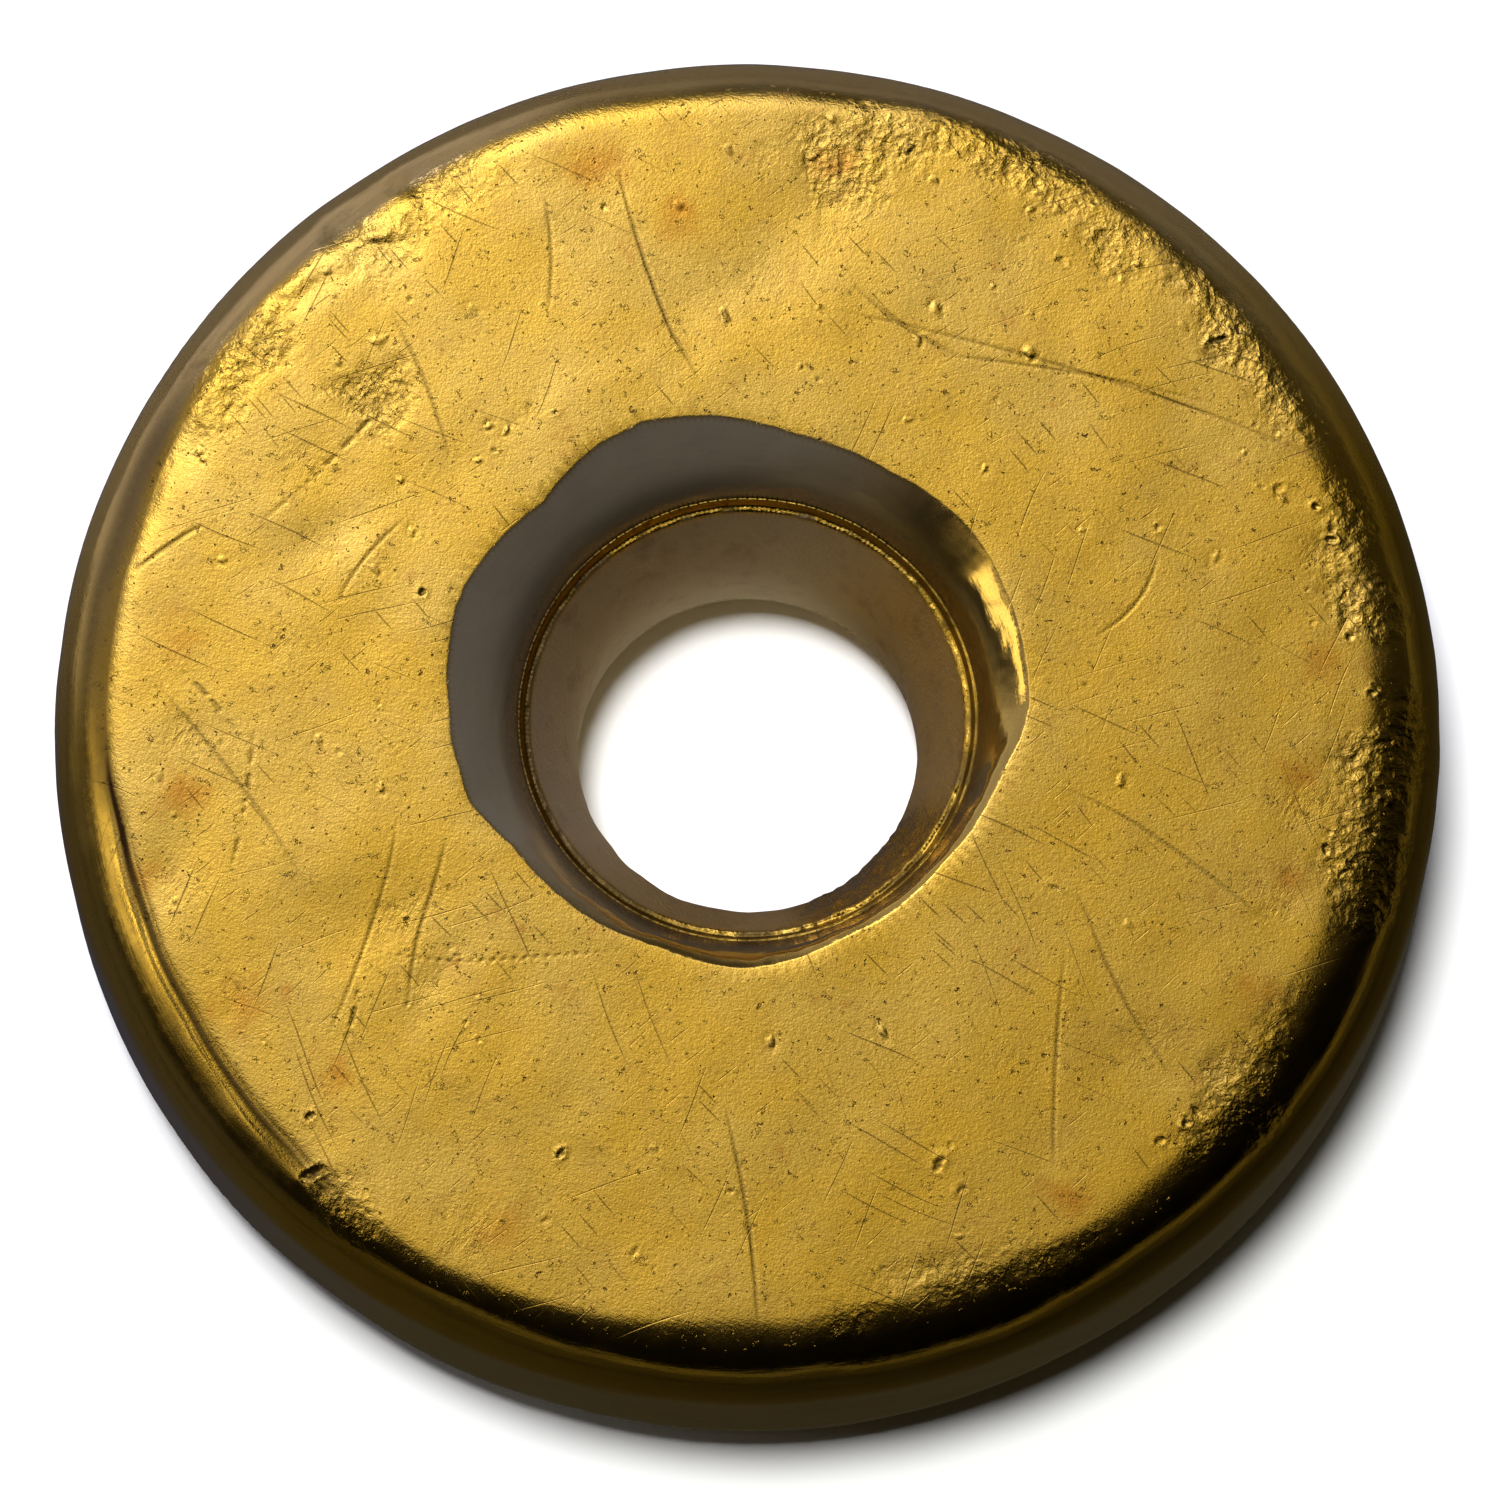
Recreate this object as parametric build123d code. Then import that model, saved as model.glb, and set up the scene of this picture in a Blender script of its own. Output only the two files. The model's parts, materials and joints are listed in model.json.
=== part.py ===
from build123d import *
import os

# A pierced token: one thick, plain disc of yellow metal with a rounded rim and a hole through its middle.
# It lies flat. The origin is the centre of the underside, on the hole's axis, and +Z is up. Millimetres.
#
# The hole was pressed from above. From the top face down it is a smooth rolled lip, a small ledge that the
# press left, a rough cone where the last of the metal tore through, a short straight waist, and a rounded
# lip at the underside. The disc is a solid of revolution, so one half section describes all of it.

# Driving dimensions
OUTER_DIAMETER = 24.0
THICKNESS = 4.8
RIM_ROUND = 1.3            # radius that rolls each face into the outer wall
MOUTH_DIAMETER = 10.6      # where the top face starts to roll into the hole
LIP_ROUND = 1.55           # radius of the rolled lip
LEDGE_DIAMETER = 7.65      # where the rolled lip ends
LEDGE_WIDTH = 0.1
WAIST_DIAMETER = 5.95      # the narrowest part of the hole
WAIST_LOW = 1.1            # height of the waist's lower end, and the radius of the lip below it
WAIST_LENGTH = 1.5

# Worked out from them
OUTER_RADIUS = OUTER_DIAMETER / 2
FACE_RADIUS = OUTER_RADIUS - RIM_ROUND
MOUTH_RADIUS = MOUTH_DIAMETER / 2
LEDGE_RADIUS = LEDGE_DIAMETER / 2
WAIST_RADIUS = WAIST_DIAMETER / 2
WAIST_HIGH = WAIST_LOW + WAIST_LENGTH

STRAIGHT_UP = 90
STRAIGHT_DOWN = -90


def arc_point(centre, radius, degrees):
    """The point on a circle in the section plane, at an angle from +X."""
    return Vector(*centre) + Vector(radius, 0).rotate(Axis.Z, degrees)


def rolled_lip():
    """The lip, from where it leaves the top face to where it meets the ledge."""
    centre = (MOUTH_RADIUS, THICKNESS - LIP_ROUND)
    reach = MOUTH_RADIUS - LEDGE_RADIUS
    rise = (LIP_ROUND**2 - reach**2) ** 0.5
    foot = Vector(LEDGE_RADIUS, centre[1] + rise)
    foot_angle = (foot - Vector(*centre)).get_angle(Vector(1, 0))
    middle = arc_point(centre, LIP_ROUND, (STRAIGHT_UP + foot_angle) / 2)
    return ThreePointArc((MOUTH_RADIUS, THICKNESS), middle, foot)


def lower_lip():
    """A quarter circle from the bottom of the waist out to the underside."""
    centre = (WAIST_RADIUS + WAIST_LOW, WAIST_LOW)
    points = [arc_point(centre, WAIST_LOW, 180 + turn) for turn in (0, 45, 90)]
    return ThreePointArc(*points)


def rim_corner(height, start):
    """A quarter circle between a face and the outer wall, anticlockwise from the start angle."""
    points = [arc_point((FACE_RADIUS, height), RIM_ROUND, start + turn) for turn in (0, 45, 90)]
    return ThreePointArc(*points)


def half_section():
    """The right half of the disc's section, drawn with its radius along X and its height along Y."""
    upper_lip = rolled_lip()
    bottom_lip = lower_lip()
    ledge = upper_lip @ 1 - Vector(LEDGE_WIDTH, 0)
    hole_wall = Polyline(upper_lip @ 1, ledge, (WAIST_RADIUS, WAIST_HIGH), bottom_lip @ 0)
    lower_corner = rim_corner(RIM_ROUND, STRAIGHT_DOWN)
    upper_corner = rim_corner(THICKNESS - RIM_ROUND, 0)
    underside = Line(bottom_lip @ 1, lower_corner @ 0)
    outer_wall = Line(lower_corner @ 1, upper_corner @ 0)
    top_face = Line(upper_corner @ 1, upper_lip @ 0)
    edges = [upper_lip, hole_wall, bottom_lip, underside, lower_corner, outer_wall, upper_corner, top_face]
    return make_face(Curve() + edges)


def token():
    """The whole disc, stood up from its section and turned about the hole's axis."""
    return revolve(Plane.XZ * half_section(), Axis.Z)


os.makedirs("parts", exist_ok=True)
export_step(token(), "parts/token_disc.step")
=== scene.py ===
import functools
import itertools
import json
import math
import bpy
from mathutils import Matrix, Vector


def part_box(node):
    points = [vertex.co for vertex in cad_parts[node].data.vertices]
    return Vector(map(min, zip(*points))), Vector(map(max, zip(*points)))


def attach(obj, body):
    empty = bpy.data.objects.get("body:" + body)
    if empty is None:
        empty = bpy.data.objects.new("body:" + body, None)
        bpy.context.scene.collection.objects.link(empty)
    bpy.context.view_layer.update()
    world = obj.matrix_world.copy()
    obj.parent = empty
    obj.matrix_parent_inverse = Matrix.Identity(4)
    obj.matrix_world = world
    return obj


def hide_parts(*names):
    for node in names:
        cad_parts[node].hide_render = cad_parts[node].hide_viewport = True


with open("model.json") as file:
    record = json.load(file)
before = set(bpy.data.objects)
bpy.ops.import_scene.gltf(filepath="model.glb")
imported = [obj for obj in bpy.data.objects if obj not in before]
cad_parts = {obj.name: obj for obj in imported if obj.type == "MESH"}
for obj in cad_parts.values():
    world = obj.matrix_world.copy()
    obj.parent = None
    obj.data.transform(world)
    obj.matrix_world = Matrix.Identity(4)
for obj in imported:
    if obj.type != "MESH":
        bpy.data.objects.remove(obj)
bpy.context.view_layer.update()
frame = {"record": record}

# A pierced token of yellow metal, lying on a white table in a dim studio with one large soft panel.
#
# The token is one closed mesh. Its section is drawn as arcs and lines, swept around the hole, and then worn:
# dents, pits, scratches and crumpled edges are pressed into a relief, and the mesh is made finer wherever
# the relief has detail. Lengths are in millimetres until the mesh is made, and metres after that.
#
# Places on a face are given by clock angle, in degrees anticlockwise from +X, and distance from the axis.
# North is +Y and west is -X.

from types import SimpleNamespace

import bpy
import numpy as np

# ------------------------------------------------------------
# The frame

MM = 0.001
low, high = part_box("token_disc")
hole = next(mount for mount in frame["record"]["mounts"] if mount["name"] == "hole")

RADIUS = high.x / MM
THICKNESS = high.z / MM
WAIST_RADIUS = hole["dims"]["r_mm"]
WAIST_LENGTH = hole["dims"]["length_mm"]
WAIST_MIDDLE = hole["pos_m"][2] / MM
WAIST_LOW = WAIST_MIDDLE - WAIST_LENGTH / 2
WAIST_HIGH = WAIST_MIDDLE + WAIST_LENGTH / 2

# Shares of the frame
RIM_ROUND = 0.108 * RADIUS          # radius of the rolled outer rim
FACE_RADIUS = RADIUS - RIM_ROUND
MOUTH_RADIUS = 0.408 * RADIUS       # where the face breaks into the hole's lip, on average
LEDGE_RADIUS = 0.322 * RADIUS       # where the lip ends, at the ledge the press left
LEDGE_WIDTH = 0.008 * RADIUS
STEP_RISE = 0.011 * RADIUS          # a second, smaller step stands just above the ledge
STEP_RUN = 0.006 * RADIUS
STEP_WIDTH = 0.003 * RADIUS
LIP_FOOT = LEDGE_RADIUS + STEP_RUN + STEP_WIDTH
LIP_BREAK = math.radians(24)        # the lip's slope just inside the crease at its edge
LIP_END = math.radians(60)          # and its slope at the foot
CREASE_ROUND = 0.008 * RADIUS       # how tightly the crease is rounded
DOME = 0.014 * RADIUS               # how far each face falls away from the hole to the rim

# ------------------------------------------------------------
# Smooth random bumps and soft steps

LATTICE = 64


def lumps(points, size, seed):
    """Smooth random values from -1 to 1, for points in 2 or 3 dimensions and bumps of about a size."""
    dimensions = points.shape[-1]
    lattice = np.random.default_rng(seed).uniform(-1, 1, (LATTICE,) * dimensions)
    place = points / size
    cell = np.floor(place).astype(int)
    blend = place - cell
    blend = blend * blend * (3 - 2 * blend)
    total = np.zeros(points.shape[:-1])
    for corner in itertools.product((0, 1), repeat=dimensions):
        index = np.moveaxis((cell + corner) % LATTICE, -1, 0)
        weight = np.where(np.array(corner) == 1, blend, 1 - blend).prod(axis=-1)
        total += weight * lattice[tuple(index)]
    return total


def soft_step(value, start, end):
    """0 before start, 1 after end, and smooth in between. Start may be above end."""
    share = np.clip((value - start) / (end - start), 0, 1)
    return share * share * (3 - 2 * share)


def polar(clock, radius):
    """A point on the face, from its clock angle and its distance from the axis."""
    return radius * np.array([math.cos(math.radians(clock)), math.sin(math.radians(clock))])


def along_and_aside(offset, heading):
    """How far points lie along a heading, and to the left of it."""
    turn = polar(heading, 1.0)
    return offset @ turn, offset @ np.array([-turn[1], turn[0]])


def near_clock(clock, middle, outer, inner):
    """1 for clock angles within inner degrees of the middle, 0 beyond outer degrees, and smooth between."""
    away = np.abs((clock - middle + 180) % 360 - 180)
    return soft_step(away, outer, inner)


# ------------------------------------------------------------
# The relief: what years of handling pressed into a face, as heights over a square map


class Relief:
    """Maps over a face seen from above: its height, its marks, and how finely it has to be meshed."""

    STEP = 0.025        # between points of the maps
    MARGIN = 0.5        # that the maps reach beyond the rim
    COARSE = 0.3        # mesh size where nothing asks for a finer one

    def __init__(self, seed, finest):
        self.finest = finest
        self.random = np.random.default_rng(seed)
        self.seed = seed
        self.half = RADIUS + self.MARGIN
        axis = np.arange(-self.half, self.half, self.STEP)
        self.count = len(axis)
        self.points = np.stack(np.meshgrid(axis, axis, indexing="ij"), axis=-1)
        self.radius = np.hypot(self.points[..., 0], self.points[..., 1])
        self.clock = np.degrees(np.arctan2(self.points[..., 1], self.points[..., 0]))
        for name in ("height", "grime", "stains", "wrinkles", "smudges"):
            setattr(self, name, np.zeros((self.count, self.count)))
        self.mesh_size = np.full((self.count, self.count), self.COARSE)

    def needs(self, area, share, size):
        """Asks for a mesh size wherever the share is above a small amount."""
        wanted = np.where(share > 0.04, size, self.COARSE)
        self.mesh_size[area] = np.minimum(self.mesh_size[area], wanted)

    def window(self, lowest, highest):
        """The part of the map between two corners, as a pair of slices."""
        first = np.clip(((np.array(lowest) + self.half) / self.STEP).astype(int), 0, self.count)
        last = np.clip(((np.array(highest) + self.half) / self.STEP).astype(int) + 1, 0, self.count)
        return slice(first[0], last[0]), slice(first[1], last[1])

    def around(self, centre, reach):
        """The part of the map within reach of a place, and its points as seen from there."""
        centre = np.array(centre)
        area = self.window(centre - reach, centre + reach)
        return area, self.points[area] - centre

    def mark(self, values, area, strength):
        """Raises a map of marks to a strength, and never lowers it."""
        values[area] = np.maximum(values[area], strength)

    def scratch(self, start, end, bend=0.0, width=0.03, depth=0.012, broken=0.0, dots=0.0, grime=0.55):
        """A groove from start to end, bowed by bend in the middle, and the metal thrown up on both sides."""
        start, end = np.array(start), np.array(end)
        reach = abs(bend) + 4 * width
        area = self.window(np.minimum(start, end) - reach, np.maximum(start, end) + reach)
        along = end - start
        length = np.hypot(*along)
        along /= length
        offset = self.points[area] - start
        share = np.clip(offset @ along / length, 0, 1)
        aside = offset @ np.array([-along[1], along[0]]) - bend * 4 * share * (1 - share)
        beyond = np.maximum(np.abs(offset @ along - length / 2) - length / 2, 0)
        distance = np.hypot(aside, beyond) / width
        strength = np.sqrt(np.sin(np.pi * np.clip(share, 0.02, 0.98)))
        if broken:
            beat = lumps(share[..., None] * length + self.random.uniform(0, 50), 0.09, self.seed + 1)
            strength *= soft_step(beat, broken - 1.0, broken - 0.5)
        if dots:
            strength *= soft_step(np.cos(2 * np.pi * share * length / dots), -0.2, 0.6)
        groove = np.exp(-distance**2)
        shoulders = np.exp(-((distance - 1.7) / 0.6) ** 2)
        self.height[area] += depth * strength * (0.3 * shoulders - groove)
        self.mark(self.grime, area, grime * strength * groove)
        self.needs(area, 0.3 * shoulders + groove, max(width, self.finest))

    def groove(self, first, last, radii, width, depth):
        """A groove around the axis, between two clock angles and two radii, with a ridge outside it."""
        share = (self.clock % 360 - first) / (last - first)
        distance = (self.radius - radii[0] - (radii[1] - radii[0]) * share) / width
        distance += 0.6 * lumps(self.points, 0.7, self.seed + 10)
        strength = soft_step(share, 0.0, 0.15) * soft_step(share, 1.0, 0.8)
        furrow, ridge = np.exp(-(distance**2)), np.exp(-((distance - 1.8) ** 2))
        self.height += depth * strength * (0.7 * ridge - furrow)
        area = (slice(None), slice(None))
        self.needs(area, strength * (furrow + ridge), max(width, self.finest))

    def pit(self, centre, size, depth, stretch=1.0, heading=0.0, rim=0.35, grime=0.7):
        """A ragged hole with a raised rim."""
        area, offset = self.around(centre, 2.2 * size * max(stretch, 1))
        lengthwise, sideways = along_and_aside(offset, heading)
        ragged = 0.35 * size * lumps(self.points[area], 0.6 * size, self.seed + 2)
        distance = (np.hypot(lengthwise / stretch, sideways) + ragged) / size
        hollow = 1 - soft_step(distance, 0.35, 1.0)
        edge = np.exp(-((distance - 1.15) / 0.25) ** 2)
        self.height[area] += depth * (rim * edge - hollow)
        self.mark(self.grime, area, grime * hollow)
        self.needs(area, edge + hollow, max(0.6 * size, self.finest))

    def dent(self, centre, size, depth, stretch=1.0, heading=0.0):
        """A wide, smooth hollow."""
        area, offset = self.around(centre, 2.6 * size * max(stretch, 1))
        lengthwise, sideways = along_and_aside(offset, heading)
        self.height[area] -= depth * np.exp(-((lengthwise / (size * stretch)) ** 2) - (sideways / size) ** 2)

    def stain(self, centre, size):
        """A soft, uneven patch of orange oxide."""
        area, offset = self.around(centre, 2.2 * size)
        away = np.hypot(*np.moveaxis(offset, -1, 0)) / size
        uneven = 0.5 * lumps(self.points[area], 0.5 * size, self.seed + 6)
        uneven += 0.3 * lumps(self.points[area], 0.16, self.seed + 7)
        self.mark(self.stains, area, soft_step(away + uneven, 1.2, -0.1))

    def smudge(self, centre, size, strength):
        """A patch where dirt has settled; the material breaks it up into fine marks."""
        area, offset = self.around(centre, 2 * size)
        away = np.hypot(*np.moveaxis(offset, -1, 0)) / size
        uneven = 0.6 * lumps(self.points[area], 0.5 * size, self.seed + 8)
        self.mark(self.smudges, area, strength * soft_step(away + uneven, 1.4, 0.1))

    def crumple(self, clock, spread, near, far, depth, size=0.24):
        """A band near the rim that was knocked until the skin of the metal wrinkled."""
        corners = [polar(clock + turn, radius) for turn in (-spread, 0, spread) for radius in (near, far)]
        area = self.window(np.min(corners, axis=0) - 0.6, np.max(corners, axis=0) + 0.6)
        points, radius = self.points[area], self.radius[area]
        ragged = 0.5 * lumps(points, 0.9, self.seed + 3)
        inside = soft_step(radius + ragged, near - 0.5, near + 0.3)
        inside = inside * soft_step(radius - ragged, far + 0.3, far - 0.4)
        angle = np.abs((self.clock[area] - clock + 180) % 360 - 180)
        inside = inside * soft_step(angle + 8 * ragged, spread, 0.55 * spread)
        folds = lumps(points, size, self.seed + 4) + 0.5 * lumps(points, 0.55 * size, self.seed + 5)
        self.height[area] += depth * inside * folds
        self.mark(self.grime, area, 0.35 * inside * soft_step(folds, -0.2, -0.9))
        self.mark(self.wrinkles, area, inside)
        self.needs(area, inside, max(0.42 * size, self.finest))

    def sample(self, values, points):
        """Values of a map at any points, smoothly between its grid."""
        place = (points + self.half) / self.STEP
        cell = np.clip(np.floor(place).astype(int), 0, self.count - 2)
        share = np.clip(place - cell, 0, 1)
        column, row = cell[:, 0], cell[:, 1]
        left = values[column, row] * (1 - share[:, 1]) + values[column, row + 1] * share[:, 1]
        right = values[column + 1, row] * (1 - share[:, 1]) + values[column + 1, row + 1] * share[:, 1]
        return left * (1 - share[:, 0]) + right * share[:, 0]


def random_pits(relief, count, radii, clocks=(0, 360), sizes=(0.045, 0.08), depths=(0.004, 0.014)):
    """Small pits between two radii and two clock angles, the same on every run. Negative depths are bumps."""
    random = relief.random
    for _ in range(count):
        relief.pit(
            polar(random.uniform(*clocks), random.uniform(*radii)),
            size=random.uniform(*sizes),
            depth=random.uniform(*depths),
            stretch=random.uniform(1, 2.2),
            heading=random.uniform(0, 180),
            rim=0.6,
            grime=random.uniform(0.0, 0.35),
        )


def top_relief():
    """The face in view: its own scratches, dents and crumpled edges, then small random wear."""
    relief = Relief(seed=11, finest=0.036)
    relief.height += 0.010 * lumps(relief.points, 3.2, 31)
    relief.height += 0.009 * lumps(relief.points, 1.3, 32)
    relief.height += 0.0036 * lumps(relief.points, 0.5, 33)

    # Long scratches: from and to, then bow, width and depth, then how broken and how dotted they are
    for start, end, *shape in (
        ((77, 7.3), (24, 11.0), 0.2, 0.026, 0.010),
        ((76, 7.8), (59, 7.3), -0.1, 0.03, 0.012),
        ((61, 7.2), (35, 9.6), 0.1, 0.026, 0.009),
        ((103, 9.9), (98, 5.6), -0.12, 0.03, 0.012),
        ((111, 9.8), (116, 7.9), 0.08, 0.026, 0.009),
        ((134, 8.4), (158, 9.0), 0.1, 0.03, 0.012, 0.8),
        ((131, 9.4), (139, 6.8), 0.08, 0.026, 0.008),
        ((183, 8.5), (198, 9.3), 0.05, 0.034, 0.014, 0.95),
        ((178, 10.2), (203, 8.2), 0.15, 0.026, 0.009),
        ((213, 7.9), (243, 5.2), -0.1, 0.026, 0.009, 0.0, 0.17),
        ((205, 5.7), (222, 7.8), -0.1, 0.03, 0.011),
        ((199, 6.3), (219, 9.2), 0.1, 0.026, 0.009),
        ((216, 8.2), (221, 9.1), 0.03, 0.034, 0.014, 0.85),
        ((267, 7.1), (271, 10.9), 0.1, 0.028, 0.010),
        ((167, 10.9), (161, 10.0), 0.05, 0.036, 0.014),
        ((165, 7.3), (151, 6.8), 0.12, 0.028, 0.010),
        ((176, 9.8), (183, 8.8), 0.05, 0.03, 0.012, 0.85),
        ((303, 9.6), (321, 7.0), 0.06, 0.026, 0.008),
        ((21, 7.6), (12, 6.2), 0.2, 0.028, 0.009),
        ((330, 6.6), (318, 9.8), -0.15, 0.026, 0.008),
        ((345, 6.0), (337, 9.6), 0.1, 0.026, 0.008),
    ):
        relief.scratch(polar(*start), polar(*end), *shape)

    # The rolled edge's own creases, in the south-west
    relief.groove(190, 234, (10.94, 10.98), 0.035, 0.010)
    relief.groove(184, 226, (11.10, 11.18), 0.03, 0.005)

    # The north-western edge is beaten down in patches
    beaten = soft_step(relief.radius, 10.2, 11.0) * soft_step(relief.radius, 11.8, 11.2)
    beaten *= soft_step(lumps(relief.points, 0.9, 35), -0.4, 0.2)
    relief.height -= 0.05 * beaten * near_clock(relief.clock, 140, 30, 14)

    # Broad, shallow drag marks, all in one direction: where their middles are, and their lengths
    drag_heading = -35
    for clock, radius, length in (
        (214, 8.0, 5.0), (228, 8.4, 6.0), (240, 9.2, 6.0), (206, 9.3, 3.0), (262, 8.8, 4.0),
    ):
        middle = polar(clock, radius)
        along = polar(drag_heading, length / 2)
        relief.scratch(middle - along, middle + along, 0.1, width=0.1, depth=-0.002, grime=0.0)

    # Dents: where, then size, depth, stretch and heading
    for clock, radius, *shape in (
        (86, 8.6, 0.9, 0.030, 1.5, 60),
        (92, 7.6, 0.5, 0.018, 2.2, 20),
        (210, 7.4, 0.75, 0.03, 1.6, 40),
        (222, 7.2, 0.4, 0.018, 2.5, 60),
        (157, 7.9, 0.35, 0.025, 2.6, 30),
        (150, 8.4, 0.5, 0.02, 1.5, 120),
        (196, 10.5, 0.5, 0.03, 1.8, 60),
        (318, 8.9, 1.1, 0.02, 1.4, 120),
        (20, 6.4, 1.0, 0.015, 1.6, 70),
    ):
        relief.dent(polar(clock, radius), *shape)

    # Pits and chips: where, then size, depth, stretch, heading, raised rim and grime
    for clock, radius, *shape in (
        (228, 11.0, 0.10, 0.035, 2.2, 20),
        (65.5, 7.9, 0.10, -0.016, 1.4, 100, 0.35, 0.0),
        (52.5, 8.05, 0.11, -0.018, 1.4, 100, 0.35, 0.0),
        (39, 10.5, 0.07, 0.020, 3.0, 20, 0.8),
        (134, 9.2, 0.09, -0.014, 1.8, 10, 0.35, 0.0),
        (292, 8.7, 0.08, 0.012, 2.0, 60, 0.6),
        (224, 10.4, 0.07, 0.03, 1.4, 40),
        (248, 8.5, 0.07, 0.025, 1.6, 60, 0.6),
        (160, 5.55, 0.07, 0.03, 1.0, 0),
    ):
        relief.pit(polar(clock, radius), *shape)

    # Crumpled bands: clock angle and spread in degrees, then from and to radius, depth and size of the folds
    for band in (
        (64, 22, 10.4, 11.2, 0.011, 0.18),
        (80, 8, 9.6, 10.6, 0.008, 0.2),
        (37, 14, 10.7, 11.2, 0.012, 0.18),
        (134, 26, 10.5, 11.15, 0.009, 0.16),
        (358, 34, 10.7, 11.4, 0.013, 0.16),
        (325, 18, 10.8, 11.3, 0.010, 0.2),
        (290, 18, 10.9, 11.3, 0.008, 0.2),
        (140, 6, 8.1, 9.1, 0.010, 0.16),
        (232, 5, 10.9, 11.4, 0.010),
    ):
        relief.crumple(*band)

    # Orange oxide, near the rim more than elsewhere
    for clock, radius, size in (
        (5, 10.0, 0.45), (353, 9.6, 0.5), (342, 10.0, 0.4), (105, 10.1, 0.6), (81, 9.9, 0.5),
        (189, 9.8, 0.5), (196, 10.8, 0.4), (211, 10.2, 0.6), (246, 9.9, 0.5), (302, 10.2, 0.5),
        (98, 8.9, 0.5), (172, 9.9, 0.5), (330, 10.2, 0.5), (222, 9.6, 0.45),
    ):
        relief.stain(polar(clock, radius), size)

    # Dirt in rough patches
    for clock, radius, size, strength in (
        (140, 8.6, 0.6, 1.0), (150, 8.9, 0.45, 0.8), (105, 9.9, 0.6, 0.5), (80, 8.8, 0.55, 0.6),
        (88, 7.6, 0.6, 0.6), (172, 7.9, 0.4, 0.7), (183, 9.8, 0.5, 0.8), (197, 10.2, 0.5, 0.7),
        (213, 7.0, 0.6, 0.6), (222, 7.3, 0.4, 0.7), (350, 9.9, 0.6, 0.8), (340, 9.7, 0.5, 0.7),
        (16, 10.3, 0.4, 0.7), (210, 10.1, 0.4, 0.9), (304, 7.9, 0.6, 0.4), (160, 8.1, 0.4, 0.7),
        (243, 10.2, 0.5, 0.7), (318, 9.0, 0.7, 0.4), (60, 9.4, 0.5, 0.4), (125, 6.4, 0.3, 0.6),
    ):
        relief.smudge(polar(clock, radius), size, strength)

    # Small wear: pits and bumps all over, chips along the eastern edge, crumbs along the northern ones
    random_pits(relief, 30, (5.8, FACE_RADIUS), sizes=(0.04, 0.065))
    random_pits(relief, 40, (5.8, FACE_RADIUS), depths=(-0.012, -0.005))
    random_pits(relief, 22, (10.4, 11.2), (-50, 25), (0.05, 0.09), (0.008, 0.02))
    random_pits(relief, 34, (9.6, 11.0), (20, 88), (0.045, 0.08), (-0.016, 0.010))
    random_pits(relief, 16, (10.2, 11.0), (118, 160), (0.05, 0.08), (-0.014, 0.010))
    return relief


def bottom_relief():
    """The face out of sight: the same kind of wear, in other places."""
    relief = Relief(seed=23, finest=0.09)
    relief.height += 0.010 * lumps(relief.points, 2.8, 41)
    relief.height += 0.004 * lumps(relief.points, 1.1, 42)
    for clock, radius in ((20, 8.4), (130, 7.0), (215, 9.3), (300, 6.8)):
        relief.dent(polar(clock, radius), 0.6, 0.025, 1.6, clock + 50)
    relief.crumple(80, 16, 10.4, 11.6, 0.013)
    relief.crumple(250, 20, 10.5, 11.7, 0.013)
    for clock in range(0, 360, 40):
        start, end = polar(clock, 5.2), polar(clock + 31, 10.2)
        relief.scratch(start, end, 0.2, width=0.035, depth=0.011)
        relief.stain(polar(clock + 12, 9.8), 0.5)
        relief.smudge(polar(clock + 25, 8.4), 0.5, 0.4)
    random_pits(relief, 40, (4.6, FACE_RADIUS))
    return relief


# ------------------------------------------------------------
# The section: a closed loop of radius and height, from the face's inner edge round the rim and up the hole


def arc(centre, radius, first, last, count=40):
    """Points on an arc in the section, between two angles in radians measured from +radius."""
    angles = np.linspace(first, last, count)
    return np.column_stack([centre[0] + radius * np.cos(angles), centre[1] + radius * np.sin(angles)])


def lip_arc():
    """The lip from its foot, above the two steps, up to the crease."""
    quarter = math.pi / 2
    drop = CREASE_ROUND * (1 - math.cos(LIP_BREAK))
    radius = (MOUTH_RADIUS - LIP_FOOT) / (math.sin(LIP_END) - math.sin(LIP_BREAK))
    centre = (MOUTH_RADIUS + radius * math.sin(LIP_BREAK), THICKNESS - drop - radius * math.cos(LIP_BREAK))
    return arc(centre, radius, quarter + LIP_END, quarter + LIP_BREAK)


def crease_arc():
    """The tight bend between the lip and the face."""
    quarter = math.pi / 2
    centre = (MOUTH_RADIUS + CREASE_ROUND * math.sin(LIP_BREAK), THICKNESS - CREASE_ROUND)
    return arc(centre, CREASE_ROUND, quarter + LIP_BREAK, quarter, count=6)


def cone_curve(foot):
    """The torn throat, bending from the straight waist out to the ledge."""
    share = np.linspace(0, 1, 20)[:, None]
    start, bend = np.array([WAIST_RADIUS, WAIST_MIDDLE]), np.array([WAIST_RADIUS, WAIST_HIGH])
    return (1 - share) ** 2 * start + 2 * share * (1 - share) * bend + share**2 * np.array(foot)


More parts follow.
